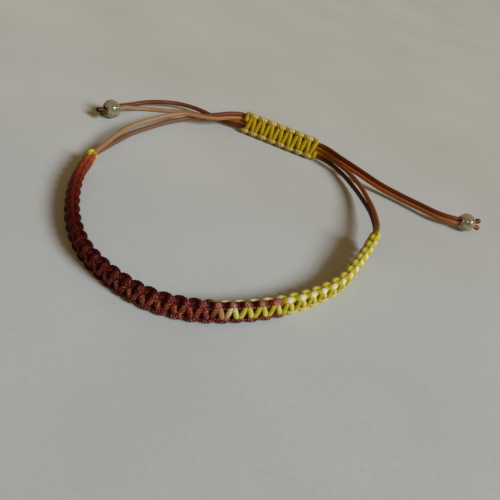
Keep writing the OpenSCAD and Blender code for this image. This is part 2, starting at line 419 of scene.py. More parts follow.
class Graph:
    """Node tree of one material."""

    def __init__(self, name: str) -> None:
        """Starts a material with an empty tree.

        Args:
            name: Name of the material.
        """
        self.material = bpy.data.materials.new(name)
        self.material.use_nodes = True
        self.tree = self.material.node_tree
        self.tree.nodes.clear()

    def node(
        self,
        kind: str,
        settings: dict[str, object] | None = None,
        inputs: Inputs | None = None,
        output: Union[str, int] = 0,
    ) -> Socket:
        """Adds a node.

        Args:
            kind: Type of the node.
            settings: Properties that are set first.
            inputs: Values or links of its sockets, by name or place.
            output: The output that is returned, by name or place.

        Returns:
            The wrapped output.
        """
        made = self.tree.nodes.new(kind)
        for name, setting in (settings or {}).items():
            setattr(made, name, setting)
        for key, value in (inputs or {}).items():
            self.feed(made.inputs[key], value)
        return Socket(self, made.outputs[output])

    def feed(self, socket: bpy.types.NodeSocket, value: Value) -> None:
        """Links a wrapped socket to an input, or sets the input's own value.

        Args:
            socket: The input.
            value: Wrapped socket or value.
        """
        if isinstance(value, Socket):
            self.tree.links.new(value.socket, socket)
        elif socket.type == "RGBA" and len(value) == 3:
            socket.default_value = (*value, 1.0)
        else:
            socket.default_value = value

    def attribute(self, name: str, output: str) -> Socket:
        """A named attribute of the mesh, as its Color, Vector or Fac."""
        return self.node("ShaderNodeAttribute", {"attribute_name": name}, output=output)

    def noise(self, place: Value, scale: float, detail: float = 2.0, roughness: float = 0.5) -> Socket:
        """Value of a noise texture at a place."""
        inputs: Inputs = {"Vector": place, "Scale": scale, "Detail": detail, "Roughness": roughness}
        return self.node("ShaderNodeTexNoise", None, inputs)

    def stretched(self, place: Value, scale: Sequence[float]) -> Socket:
        """A vector scaled along its axes."""
        return self.node("ShaderNodeVectorMath", {"operation": "MULTIPLY"}, {0: place, 1: scale})

    def ramp(self, value: Value, low: float, high: float) -> Socket:
        """Smooth rise of a value from 0 at low to 1 at high."""
        inputs: Inputs = {"Value": value, "From Min": low, "From Max": high}
        return self.node("ShaderNodeMapRange", {"interpolation_type": "SMOOTHSTEP"}, inputs)

    def mixed(self, share: Value, first: Value, second: Value, blend: str = "MIX") -> Socket:
        """Mix of two colours."""
        settings = {"data_type": "RGBA", "blend_type": blend}
        return self.node("ShaderNodeMix", settings, {0: share, 6: first, 7: second}, output=2)

    def bump(self, height: Value, strength: float, distance: float) -> Socket:
        """Normal that follows a height."""
        inputs: Inputs = {"Strength": strength, "Distance": distance, "Height": height}
        return self.node("ShaderNodeBump", None, inputs)

    def finish(self, **inputs: Value) -> Material:
        """Adds the surface shader.

        Args:
            **inputs: Its sockets, named in words joined by underscores.

        Returns:
            The material.
        """
        named: Inputs = {name.replace("_", " "): value for name, value in inputs.items()}
        surface = self.node("ShaderNodeBsdfPrincipled", None, named)
        output = self.tree.nodes.new("ShaderNodeOutputMaterial")
        self.tree.links.new(surface.socket, output.inputs["Surface"])
        return self.material


@dataclass(frozen=True)
class CordFinish:
    """Satin nylon cord: its plies and grooves have the mesh's colours, the darker groove colours being
    painted shade, with fine filaments along them.
    """

    name: str
    roughness: float
    sheen: float
    filament_scale: float
    filament_dark: float
    relief: float
    gloss: float
    gloss_tint: Colour = (1.0, 0.72, 0.52)
    glint_colour: Colour = (0.74, 0.36, 0.25)
    glint_scale: float = 2.3
    filament_stretch: Point = (1, 1, 0.12)
    blotch_stretch: Point = (0.3, 0.3, 0.5)
    blotch_scale: float = 0.9
    streaks: tuple[float, float] = (0.32, 0.68)
    blotches: tuple[float, float] = (0.45, 0.8)
    specks: tuple[float, float] = (0.56, 0.64)
    bump: float = 0.6
    bleach: Colour = (0.75, 0.62, 0.45)
    bleach_share: float = 0.16
    scorch: Colour = (0.45, 0.36, 0.3)
    streak_roughness: float = 0.12
    melt_gloss: float = 0.15

    def material(self) -> Material:
        """Builds the material.

        Returns:
            The material.
        """
        graph = Graph(self.name)
        fibre = graph.attribute("fibre", "Vector")
        melt = graph.attribute("melt", "Fac")
        ply = graph.attribute("ply", "Fac")
        # Painted shade: the groove colour is darker than the ply colour, so the grooves between the plies
        # look shaded.
        groove, crest = (graph.attribute(name, "Color") for name in ("groove_shade_tint", "tint"))
        twisted = graph.mixed(ply, groove, crest)
        filament = graph.noise(graph.stretched(fibre, self.filament_stretch), self.filament_scale, 3.0, 0.6)
        blotch = graph.noise(graph.stretched(fibre, self.blotch_stretch), self.blotch_scale)
        streak = graph.ramp(filament, *self.streaks)
        dark = graph.mixed(1.0, twisted, (self.filament_dark,) * 3, "MULTIPLY")
        threads = graph.mixed(streak, dark, twisted)
        bleached = graph.ramp(blotch, *self.blotches) * self.bleach_share
        faded = graph.mixed(bleached, threads, self.bleach, "SOFT_LIGHT")
        # Painted highlights: bright specks screened onto the ply crests, as strong as the glint attribute
        # says.
        speck = graph.ramp(graph.noise(fibre, self.glint_scale), *self.specks)
        glint = speck * ply * graph.attribute("glint", "Fac")
        lit = graph.mixed(glint, faded, self.glint_colour, "SCREEN")
        burnt = graph.mixed(1.0, twisted, self.scorch, "MULTIPLY")
        roughness = self.roughness + (0.5 - streak) * self.streak_roughness - melt * self.melt_gloss
        return graph.finish(
            Base_Color=graph.mixed(melt, lit, burnt),
            Roughness=roughness,
            Normal=graph.bump(streak * (1 - melt), self.bump, self.relief),
            Sheen_Weight=self.sheen,
            Specular_IOR_Level=self.gloss,
            Specular_Tint=self.gloss_tint,
        )


@dataclass(frozen=True)
class BeadFinish:
    """Smoky translucent bead with faint clouds in it."""

    name: str
    clear: Colour
    cloudy: Colour
    roughness: float
    transmission: float
    cloud_scale: float = 420.0
    clouds: tuple[float, float] = (0.35, 0.7)
    smear_scale: float = 900.0
    smear: float = 0.06
    dent_scale: float = 700.0
    dent_depth: float = 0.00002
    bump: float = 0.15
    index: float = 1.5

    def material(self) -> Material:
        """Builds the material.

        Returns:
            The material.
        """
        graph = Graph(self.name)
        place = graph.node("ShaderNodeTexCoord", None, None, "Object")
        cloud = graph.noise(place, self.cloud_scale, 3.0)
        return graph.finish(
            Base_Color=graph.mixed(graph.ramp(cloud, *self.clouds), self.clear, self.cloudy),
            Roughness=self.roughness + graph.noise(place, self.smear_scale) * self.smear,
            Normal=graph.bump(graph.noise(place, self.dent_scale), self.bump, self.dent_depth),
            Transmission_Weight=self.transmission,
            IOR=self.index,
        )


@dataclass(frozen=True)
class TableFinish:
    """Pale matt table top with faint scratches, tinted cool at the front and warm at the back as painted
    light.
    """

    name: str
    light: Colour
    dark: Colour
    near: Colour = (0.97, 0.985, 1.0)
    far: Colour = (1.0, 0.98, 0.92)
    near_at: float = -0.05
    far_at: float = 0.09
    patch_scale: float = 22.0
    grain_scale: float = 900.0
    grain_depth: float = 0.0001
    grain_share: float = 0.3
    shades: tuple[float, float] = (0.3, 0.7)
    bump: float = 0.12
    roughness: float = 0.62

    def material(self) -> Material:
        """Builds the material.

        Returns:
            The material.
        """
        graph = Graph(self.name)
        place = graph.node("ShaderNodeTexCoord", None, None, "Object")
        patch = graph.noise(place, self.patch_scale, 4.0)
        grain = graph.noise(place, self.grain_scale)
        shade = graph.ramp(patch * (1 - self.grain_share) + grain * self.grain_share, *self.shades)
        # Painted light: cool tint at the front of the table, warm tint at the back.
        depth = graph.node("ShaderNodeSeparateXYZ", None, {0: place}, "Y")
        painted_light_tint = graph.mixed(graph.ramp(depth, self.near_at, self.far_at), self.near, self.far)
        plain = graph.mixed(shade, self.dark, self.light)
        return graph.finish(
            Base_Color=graph.mixed(1.0, plain, painted_light_tint, "MULTIPLY"),
            Roughness=self.roughness,
            Normal=graph.bump(grain, self.bump, self.grain_depth),
        )


# Meshes


@dataclass(frozen=True)
class Section:
    """Cross-section of a cord: round, or of twisted plies."""

    radius: float
    sides: int
    plies: int = 0
    groove: float = 0.0
    turn: float = 1.0
    groove_power: float = 1.4

    def angles(self) -> Array:
        """Angles of the sides."""
        return np.arange(self.sides) * 2 * math.pi / self.sides

    def fibre_angles(self, distance: Array) -> Array:
        """Angle of each side on each ring, counted from a fibre that turns with the plies."""
        turned = 2 * math.pi * distance / self.turn if self.plies else np.zeros_like(distance)
        return self.angles()[None, :] - turned[:, None]

    def crests(self, distance: Array) -> Array:
        """How near each side of each ring is to the crest of a ply, from 0 in a groove to 1."""
        around = self.fibre_angles(distance)
        return np.abs(np.cos(around * self.plies / 2)) if self.plies else np.ones_like(around)


def placed(name: str, data: bpy.types.ID) -> Object:
    """Makes an object and links it to the scene.

    Args:
        name: Its name.
        data: Its mesh, camera or light.

    Returns:
        The object.
    """
    made = bpy.data.objects.new(name, data)
    bpy.context.scene.collection.objects.link(made)
    return made


def skinned(name: str, points: Array, faces: Sequence[Sequence[int]], material: Material) -> Object:
    """Makes a smooth mesh and its object.

    Args:
        name: Name of both.
        points: Points, in rows of three.
        faces: Points of each face.
        material: Its finish.

    Returns:
        The object.
    """
    mesh = bpy.data.meshes.new(name)
    mesh.from_pydata(points.reshape(-1, 3).tolist(), [], faces)
    mesh.shade_smooth()
    mesh.materials.append(material)
    return placed(name, mesh)


def dressed(piece: Object, node: str) -> Object:
    """Lets a piece ride on the bracelet in place of a node.

    Args:
        piece: The piece.
        node: The node.

    Returns:
        The piece.
    """
    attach(piece, BODY)
    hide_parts(node)
    return piece


def ring_faces(rings: int, sides: int, closed: bool = False) -> Array:
    """Corners of the faces between neighbouring rings of points.

    Args:
        rings: Number of rings.
        sides: Points in a ring.
        closed: Whether the last ring meets the first one.

    Returns:
        Four corners a row.
    """
    i, j = np.meshgrid(np.arange(rings if closed else rings - 1), np.arange(sides), indexing="ij")
    here, ahead, k = i * sides, (i + 1) % rings * sides, (j + 1) % sides
    return np.stack([here + j, here + k, ahead + k, ahead + j], axis=2).reshape(-1, 4)


def carried_axes(along: Array) -> tuple[Array, Array]:
    """Two axes square to a line, carried along it without twist.

    Args:
        along: Unit directions of the line, a row each.

    Returns:
        The two axes, a row each.
    """
    first = np.empty_like(along)
    start = np.cross(along[0], [0.0, 0.0, 1.0])
    first[0] = start / np.linalg.norm(start)
    for i in range(1, len(along)):
        level = first[i - 1] - along[i] * (first[i - 1] @ along[i])
        first[i] = level / math.sqrt(level @ level)
    return first, np.cross(along, first)


@dataclass
class SweptCord:
    """Cord swept along a line and closed at both ends, with the attributes that the finish reads."""

    line: Array
    section: Section
    swell: Array
    melt: Array
    coat: Array
    finish: Material
    pressed: Array | None = None
    flatten: Array | None = None
    widen: Array | None = None
    map_gap: float = 0.004
    cap_strip: float = 0.02
    cap_radius: float = 0.4

    def _points(self, distance: Array) -> Array:
        """Points of each ring.

        Args:
            distance: Distance along the line to each ring.

        Returns:
            Points by ring and side.
        """
        first, second = carried_axes(units(np.gradient(self.line, axis=0)))
        angles = self.section.angles()[None, :, None]
        depth = self.section.groove * (1 - self.section.crests(distance)) ** self.section.groove_power
        radii = self.section.radius * (1 - depth) * self.swell[:, None]
        offset = radii[:, :, None] * (np.cos(angles) * first[:, None] + np.sin(angles) * second[:, None])
        if self.pressed is not None:
            depth_part = (offset * self.pressed[:, None]).sum(2, keepdims=True) * self.pressed[:, None]
            widen, flatten = self.widen[:, None, None], self.flatten[:, None, None]
            offset = offset + widen * (offset - depth_part) - flatten * depth_part
        return self.line[:, None] + offset

    def _map(self, distance: Array) -> Array:
        """Places of the face corners on the bake map, which lays the cord out in rows.

        Args:
            distance: Distance along the line to each ring.

        Returns:
            Two numbers for each corner.
        """
        rings, sides = len(distance), self.section.sides
        around = 2 * math.pi * self.section.radius
        rows = max(1, round(math.sqrt(distance[-1] / around)))
        per_row = math.ceil((rings - 1) / rows)
        i, j = np.meshgrid(np.arange(rings - 1), np.arange(sides), indexing="ij")
        row, column = i // per_row, i % per_row
        height = (1 - self.cap_strip) / rows
        left, right = column / per_row, (column + 1) / per_row
        low = row * height + self.map_gap / 2
        inner = height - self.map_gap
        v0, v1 = low + inner * j / sides, low + inner * (j + 1) / sides
        quads = np.stack([left, v0, left, v1, right, v1, right, v0], axis=2).reshape(-1, 2)
        angles = self.section.angles()
        disc = self.cap_radius * self.cap_strip * np.stack([np.cos(angles), np.sin(angles)], axis=1)
        caps = [disc + [(0.5 + cap) * self.cap_strip, 1 - 0.5 * self.cap_strip] for cap in (0, 1)]
        return np.concatenate([quads, *caps])

    def build(self, name: str) -> Object:
        """Makes the object.

        Args:
            name: Name of the piece.

        Returns:
            The object.
        """
        distance = reaches(self.line)
        rings, sides = len(distance), self.section.sides
        caps = [list(range(sides))[::-1], list(range((rings - 1) * sides, rings * sides))]
        faces = [*ring_faces(rings, sides).tolist(), *caps]
        made = skinned(name, self._points(distance), faces, self.finish)
        mesh = made.data
        mesh.uv_layers.new(name=BAKE_MAP).data.foreach_set("uv", self._map(distance).ravel())
        around = self.section.fibre_angles(distance)
        length = np.broadcast_to(distance[:, None] / self.section.radius, around.shape)
        fibre = np.stack([np.cos(around), np.sin(around), length], axis=2)
        coat = np.repeat(self.coat, sides, axis=0)
        opaque = np.ones((len(coat), 1))
        attributes = (
            ("tint", "FLOAT_COLOR", "color", np.hstack([coat[:, :3], opaque])),
            # Groove colour, darker as painted shade in the grooves.
            ("groove_shade_tint", "FLOAT_COLOR", "color", np.hstack([coat[:, 3:6], opaque])),
            # Share of painted glint specks.
            ("glint", "FLOAT", "value", coat[:, 6]),
            ("melt", "FLOAT", "value", np.repeat(self.melt, sides)),
            ("ply", "FLOAT", "value", self.section.crests(distance)),
            ("fibre", "FLOAT_VECTOR", "vector", fibre),
        )
        for key, kind, field, values in attributes:
            mesh.attributes.new(key, kind, "POINT").data.foreach_set(field, values.ravel())
        return made


# Knots


class Strand(Enum):
    """The two knotting strands: each is the other turned half round the core."""

    FRONT = 1
    BACK = -1


@dataclass(frozen=True)
class KnotPattern:
    """Path of a strand through a square knot, from the middle of a bar over an edge to the back."""

    rise: tuple[Point, ...]
    points: int = 64
    passes: int = 12

    def _round(self) -> Array:
        """Path over a whole knot, up and down.

        Returns:
            Its corners: along, across and outward.
        """
        half = KNOT_PITCH / 2
        rise = np.array(self.rise)
        fall = rise[-2:0:-1] * [-1, 1, 1] + [half, 0, 0]
        up = np.vstack([rise, fall])
        return np.vstack([up, up * [1, -1, 1] + [half, 0, 0]])

    def path(self, ring_gap: float) -> Array:
        """Smooth path over one knot: along, then shares of the largest reach across and outward.

        Args:
            ring_gap: Distance between its points.

        Returns:
            The points, which start at the middle of the first bar.
        """
        corners = self._round()
        shift = np.array([KNOT_PITCH, 0, 0])
        closed = np.vstack([corners, corners[:1] + shift])
        distance = reaches(closed)
        places = np.linspace(0, distance[-1], self.points, endpoint=False)
        path = np.stack([np.interp(places, distance, column) for column in closed.T], axis=1)
        for _ in range(self.passes):
            before = np.vstack([path[-1:] - shift, path[:-1]])
            after = np.vstack([path[1:], path[:1] + shift])
            path = (before + 2 * path + after) / 4
        drift = np.zeros_like(path)
        drift[:, 0] = np.linspace(0, KNOT_PITCH, self.points, endpoint=False)
        # A quarter of a knot is a whole number of rings.
        count = 4 * math.ceil(distance[-1] / ring_gap / 4)
        fine = np.fft.irfft(np.fft.rfft(path - drift, axis=0), count, axis=0) * count / self.points
        fine[:, 0] += np.linspace(0, KNOT_PITCH, count, endpoint=False)
        fine[:, 1:] /= np.abs(fine[:, 1:]).max(axis=0)
        return fine


@dataclass(frozen=True)
class Stretch:
    """Run of knots that makes up one piece of each strand."""

    node: str
    slot: str
    first: int
    last: int


@dataclass(frozen=True)
class Press:
    """How much the strand is pressed flat against the core: on the faces, and at the edges."""

    face: float = 0.1
    edge: float = 0.16
    face_width: float = 0.08
    edge_width: float = 0.3
    edge_from: float = 0.6
    edge_full: float = 0.95

    def _edge(self, across: Array) -> Array:
        """How near each place is to an edge, from 0 to 1."""
        return smooth_step(np.abs(across), self.edge_from, self.edge_full)

    def flattened(self, across: Array) -> Array:
        """Share of the thickness that is lost."""
        return self.face + (self.edge - self.face) * self._edge(across)

    def widened(self, across: Array) -> Array:
        """Share of the width that is gained."""
        return self.face_width + (self.edge_width - self.face_width) * self._edge(across)


@dataclass(frozen=True)
class StrandRun:
    """Rings of a strand: line, directions it is pressed in, knot numbers, and shares up and outward."""

    line: Array
    pressed: Array
    knot: Array
    across: Array
    outward: Array

    def part(self, begin: int, end: int) -> StrandRun:
        """The rings from begin to end, with both."""
        columns = (self.line, self.pressed, self.knot, self.across, self.outward)
        return StrandRun(*(column[begin : end + 1] for column in columns))


Tint = Callable[[Strand, StrandRun], Array]


@dataclass(frozen=True)
class KnottedSleeve:
    """Sleeve of square knots along a carrier: two twisted strands that lock round the core."""

    carrier: Carrier
    start: float
    stretches: tuple[Stretch, ...]
    pattern: KnotPattern
    half_width: float
    half_thickness: float
    tint: Tint
    strand: Section
    finish: Material
    drift: tuple[tuple[float, float], ...] = ((0, 0),)
    slant: float = 0.0
    press: Press = Press()
    ring_gap: float = 0.000085
    end_room: float = 0.0004
    end_give: float = 0.00015
    unevenness: float = 0.025
    lead_share: float = 0.25
    tail_share: float = 0.2
    blunt: float = 0.1
    melt_full: float = 0.0003
    melt_none: float = 0.0008

    def _kept_within(self, along: Array) -> Array:
        """Distances along the sleeve, pressed together before they pass its ends.

        Args:
            along: The distances.

        Returns:
            The distances, all within the ends.
        """
        low = self.end_room
        high = self.stretches[-1].last * KNOT_PITCH - self.end_room
        raised = low + self.end_give * np.logaddexp(0, (along - low) / self.end_give)
        return high - self.end_give * np.logaddexp(0, (high - raised) / self.end_give)

    def _run(self, strand: Strand, fine: Array) -> StrandRun:
        """One strand over all knots and one more.

        Args:
            strand: Which strand.
            fine: Its path over one knot.

        Returns:
            Its rings.
        """
        last = self.stretches[-1].last
        path = np.vstack([fine + [knot * KNOT_PITCH, 0, 0] for knot in range(last + 1)])
        rng = np.random.default_rng(SEED + last + strand.value)
        marks = np.arange(-1, last + 3)
        knot = path[:, 0] / KNOT_PITCH
        wander = [rng.uniform(-1, 1, len(marks)) for _ in range(3)]
        uneven = [np.interp(knot, marks, shifts) * self.unevenness for shifts in wander]
        knots, shifts = zip(*self.drift)
        across, outward = path[:, 1] * strand.value, path[:, 2] * strand.value
        moved = knot + np.interp(knot, knots, shifts) + self.slant * across + uneven[0]
        along = self._kept_within(moved * KNOT_PITCH)
        reach = self.half_width - self.strand.radius
        height = self.half_thickness - self.strand.radius
        across_at = across * reach * (1 + uneven[1])
        outward_at = outward * height * (1 + uneven[2])
        frames = self.carrier.frames(self.start + along)
        flat = self.half_width - self.half_thickness
        beyond = across_at - np.clip(across_at, -flat, flat)
        pressed = units(beyond[:, None] * frames.across + outward_at[:, None] * frames.outward)
        line = frames.place(across_at, outward_at)
        line[:, 2] = np.maximum(line[:, 2], self.strand.radius * (1 - self.press.flattened(across)))
        return StrandRun(line, pressed, along / KNOT_PITCH, across, outward)

    def build(self) -> None:
        """Builds the two strands, a piece for each stretch."""
        fine = self.pattern.path(self.ring_gap)
        for strand, letter in ((Strand.FRONT, "a"), (Strand.BACK, "b")):
            whole = self._run(strand, fine)
            shares = (self.lead_share, self.tail_share) if strand is Strand.FRONT else (0, 0)
            lead, tail = (round(share * len(fine)) for share in shares)
            final = self.stretches[-1].last * len(fine) + tail
            for stretch in self.stretches:
                begin = stretch.first * len(fine) + lead
                end = min(stretch.last * len(fine) + lead, final)
                run = whole.part(begin, end)
                ring = np.arange(begin, end + 1)
                tip = np.minimum(ring - lead, final - ring) * self.ring_gap
                dome = np.clip(tip / self.strand.radius, self.blunt, 1)
                cord = SweptCord(
                    run.line,
                    self.strand,
                    swell=np.sqrt(1 - (1 - dome) ** 2),
                    melt=1 - smooth_step(tip, self.melt_full, self.melt_none),
                    coat=self.tint(strand, run),
                    finish=self.finish,
                    pressed=run.pressed,
                    flatten=self.press.flattened(run.across),
                    widen=self.press.widened(run.across),
                )
                piece = cord.build(f"{stretch.node}_strand_{letter}")
                dressed(piece, stretch.node)
                LOG.info("%s: %d rings", piece.name, len(tip))


def tone(ply: Sequence[int], groove: Sequence[int], glint: float) -> Array:
    """Coat of a strand in one row: the colours of its plies and of its grooves, the grooves darker as
    painted shade, and how strongly painted glints show on it.
    """
    return np.array([*display(*ply), *display(*groove), glint])


def toned(base: Array, share: Array, other: Array) -> Array:
    """Rows of coat moved towards another tone by a share each."""
    return base + share[:, None] * (other - base)


def spell(knot: Array, start: float, full: float, fades: float, gone: float, left: float = 0) -> Array:
    """Share that rises along the band from start to full, and falls to what is left from fades to gone."""
    return smooth_step(knot, start, full) * (1 - (1 - left) * smooth_step(knot, fades, gone))


def blended(stops: Sequence[tuple[float, Array]], places: Array) -> Array:
    """Rows mixed from stops, each a place and its row."""
    marks, rows = zip(*stops)
    return np.stack([np.interp(places, marks, column) for column in np.array(rows).T], axis=1)


# Tones of the knotting cord, some of them painted highlights or painted shade, and the rows where they
# follow each other on the two strands
# Darker maroon: along the upper edge of the front strand, and as painted shade where the back strand turns
# away.
DEEP_MAROON = tone((62, 5, 2), (18, 1, 0), 0.0)
MAROON = tone((98, 12, 4), (28, 1, 0), 0.0)
# Painted light: the lit front faces of the bars on the dark run, with painted glints.
LIT_BAR_BROWN = tone((140, 42, 22), (44, 5, 2), 1.0)
RED_BROWN = tone((160, 62, 34), (80, 18, 8), 0.2)
DULL_BROWN = tone((118, 30, 16), (48, 6, 3), 0.0)
# Maroon with many painted glints.
SPARKLE = tone((104, 16, 7), (32, 2, 0), 1.3)
# Painted highlight for the dark run, with painted glints.
RED_HIGHLIGHT = tone((150, 42, 32), (44, 4, 1), 1.5)
ORANGE_BROWN = tone((178, 94, 38), (118, 46, 12), 0.2)
TAN = tone((206, 144, 98), (140, 70, 34), 0.5)
CREAM = tone((238, 232, 160), (192, 178, 84), 0.1)
YELLOW = tone((226, 210, 56), (180, 158, 6), 0.25)
GOLD = tone((220, 186, 22), (168, 130, 0), 0.1)
# Painted shade for the yellow run.
SHADED_GOLD = tone((176, 144, 10), (128, 98, 0), 0.0)
# Painted highlight for the sliding knot's edge bumps.
SOFT_CREAM_HIGHLIGHT = tone((232, 216, 150), (184, 156, 50), 0.1)
# Painted highlight for the yellow run.
PALE_YELLOW_HIGHLIGHT = tone((240, 226, 140), (206, 182, 60), 0.1)
# Painted highlight on the back strand's upper bumps, with painted glints.
PINK_HIGHLIGHT = tone((212, 132, 118), (84, 10, 6), 1.8)
# Painted highlight: white on the back strand's upper bumps.
WHITE_HIGHLIGHT = tone((248, 240, 228), (216, 206, 188), 0.0)

FRONT_STOPS = (
    (0, TAN), (0.6, TAN), (1.3, ORANGE_BROWN), (2.2, RED_BROWN), (5.0, DULL_BROWN), (9.0, MAROON),
    (22.2, MAROON), (22.7, TAN), (23.15, TAN), (23.5, CREAM), (24.1, YELLOW),
)
BACK_STOPS = (
    (0, YELLOW), (0.85, YELLOW), (1.25, ORANGE_BROWN), (2.4, RED_BROWN), (5.0, DULL_BROWN), (9.0, MAROON),
    (25.6, MAROON), (26.6, RED_BROWN), (27.0, ORANGE_BROWN), (27.5, YELLOW),
)


def band_tint(strand: Strand, run: StrandRun) -> Array:
    """Coat of the band's strands: dark, then yellow, with white painted highlights on the bumps on the
    front of the upper edge, and more painted highlights and shade.

    Args:
        strand: Which strand.
        run: Its rings.

    Returns:
        A row of coat for each ring.
    """
    knot, across, outward = run.knot, run.across, run.outward
    top = smooth_step(across, 0.5, 0.9)
    if strand is Strand.FRONT:
        bar = smooth_step(outward, 0.3, 0.8) * (1 - smooth_step(np.abs(across), 0.5, 0.85))
        falling = np.cos(math.pi * knot) ** 2
        edge = smooth_step(across, 0.8, 0.97)
        arc = edge * smooth_step(-outward, 0.2, 0.7)
        hollow = edge * (1 - smooth_step(-outward, 0.5, 0.85))
        coat = blended(FRONT_STOPS, knot)
        layers = (
            # Darker along the upper edge of the front strand on the dark run.
            (top, (4, 12, 21, 22.4), DEEP_MAROON),
            # Painted light: the front faces of the bars lighter, as lit, with painted glints.
            (bar, (8, 19, 21.8, 22.4), LIT_BAR_BROWN),
            # Painted highlight: the tops of the front strand's arcs pale cream.
            (arc, (21.8, 23.4, 27, 29), CREAM),
            # Painted light: on the yellow run the bars of one slant paler and those of the other slant
            # darker.
            (0.55 * bar * falling, (23.5, 24, 36, 40), PALE_YELLOW_HIGHLIGHT),
            (0.4 * bar * (1 - falling), (23.5, 24.5, 41, 42), SHADED_GOLD),
            # Painted shade: darker olive along the upper edge, off the tops of the arcs.
            (0.8 * hollow, (26, 28, 41, 42), SHADED_GOLD),
            # Painted highlight: the tops of the arcs paler.
            (0.4 * arc, (26, 28, 36, 39), PALE_YELLOW_HIGHLIGHT),
        )
    else:
        standing = smooth_step(outward, 0.7, 0.88)
        crest = top * standing
        bottom = smooth_step(-across, 0.8, 0.97)
        coat = blended(BACK_STOPS, knot)
        layers = (
            # Painted shade: the back strand darker where it turns away from the front, between its bumps.
            (0.6 * (1 - standing), (4, 12, 24, 26), DEEP_MAROON),
            # Painted highlight: warm red on the back strand's bumps at the front of the upper edge.
            (0.7 * crest, (9, 18, 20.5, 23), RED_HIGHLIGHT),
            # Painted highlight: pink on the back strand's bumps at the front of the upper edge.
            (0.9 * crest, (20.5, 23, 26.9, 27.4), PINK_HIGHLIGHT),
            # Painted glints on the back strand's bumps along the lower edge.
            (0.8 * bottom, (14, 19, 27, 28), SPARKLE),
            # Painted highlight: the back strand's bumps along the lower edge paler.
            (0.6 * bottom, (27, 28, 40, 41), PALE_YELLOW_HIGHLIGHT),
            # Painted highlight: white on the back strand's bumps at the front of the upper edge.
            (crest, (26.9, 27.5, 35.5, 39, 0.4), WHITE_HIGHLIGHT),
        )
    for share, rows, other in layers:
        coat = toned(coat, share * spell(knot, *rows), other)
    return coat


def slide_tint(strand: Strand, run: StrandRun) -> Array:
    """Coat of the sliding knot's strands: yellow, with painted highlights that make the bumps of its edges
    paler.
    """
    paler = 0.55 * smooth_step(np.abs(run.across), 0.84, 1.0)
    return toned(np.tile(GOLD, (len(run.knot), 1)), paler, SOFT_CREAM_HIGHLIGHT)


# Core cords and beads

# Colours of a core cord near each anchor: rows after the anchor, then red, green and blue on a screen
CordShades = dict[Anchor, tuple[Shade, ...]]


@dataclass
class CoreCord:
    """One of the two core cords, as its loop and its two free tails."""

    letter: str
    side: int
    layout: Layout
    route: Route
    shades: CordShades
    slot: str
    finish: Material
    section: Section = Section(radius=0.53 * CORD_STEP, sides=20)
    ring_gap: float = 0.00035
    grip: float = 0.001
    path_points: int = 120
    tip_rings: tuple[float, ...] = (0, 0.00003, 0.00008, 0.00014, 0.0002, 0.0003)
    bulge_at: tuple[float, ...] = (0, 0.00008, 0.0002, 0.00045, 0.0008, 0.0012, 0.0018)
    bulge: tuple[float, ...] = (0.35, 0.75, 1.0, 1.16, 1.2, 1.1, 1.0)
    melt_full: float = 0.0006
    melt_none: float = 0.0015

    def _line(self, places: Array) -> Array:
        """Middle line of the cord at distances along the route."""
        frames = self.route.frames(places)
        return frames.place(self.side * frames.spacing / 2, np.zeros(len(places)))

    def _coat(self, places: Array) -> Array:
        """Coat of the cord.

        Args:
            places: Distances along the route.

        Returns:
            A row of coat for each.
        """
        stops = [
            (self.route.distance_to(self.layout.row_of(anchor) + rows), tone(shade, shade, 0.0))
            for anchor, shades in self.shades.items()
            for rows, *shade in shades
        ]
        return blended(stops, places)

    def _places(self, start: float, end: float) -> Array:
        """Places of the rings, closer together near a tip.

        Args:
            start: Distance along the route to the first ring.
            end: Distance to the last one.

        Returns:
            The distances.
        """
        count = math.ceil((end - start) / self.ring_gap)
        near = [*self.tip_rings, *(self.route.length - tip for tip in self.tip_rings)]
        near = [place for place in near if start <= place <= end]
        return np.unique(np.round(np.concatenate([np.linspace(start, end, count + 1), near]), 8))

    def _piece(self, name: str, start: float, end: float) -> Object:
        """One stretch of the cord.

        Args:
            name: Name of the stretch.
            start: Distance along the route to its start.
            end: Distance along the route to its end.

        Returns:
            The object.
        """
        places = self._places(start, end)
        tip = np.minimum(places, self.route.length - places)
        swell = np.interp(tip, self.bulge_at, self.bulge)
        melt = 1 - smooth_step(tip, self.melt_full, self.melt_none)
        cord = SweptCord(self._line(places), self.section, swell, melt, self._coat(places), self.finish)
        node = f"core_cord_{self.letter}"
        return dressed(cord.build(f"{node}_{name}"), node)

    def build(self, beads: dict[str, Object]) -> None:
        """Args:
            beads: The beads, by the tail that they are on; not used.
        """
        right_end, left_end = (
            self.route.distance_to(self.layout.row_of(anchor))
            for anchor in (Anchor.RIGHT_SLIDE, Anchor.LEFT_SLIDE)
        )
        stretches = {
            "right_tail": (0.0, right_end + self.grip),
            "loop": (right_end, left_end),
            "left_tail": (left_end - self.grip, self.route.length),
        }
        for name, (start, end) in stretches.items():
            piece = self._piece(name, start, end)
            path = self._line(np.linspace(start, end, self.path_points))
            path = path[::-1] if name == "right_tail" else path
            LOG.info("%s: %.1f mm", piece.name, 1000 * (end - start))


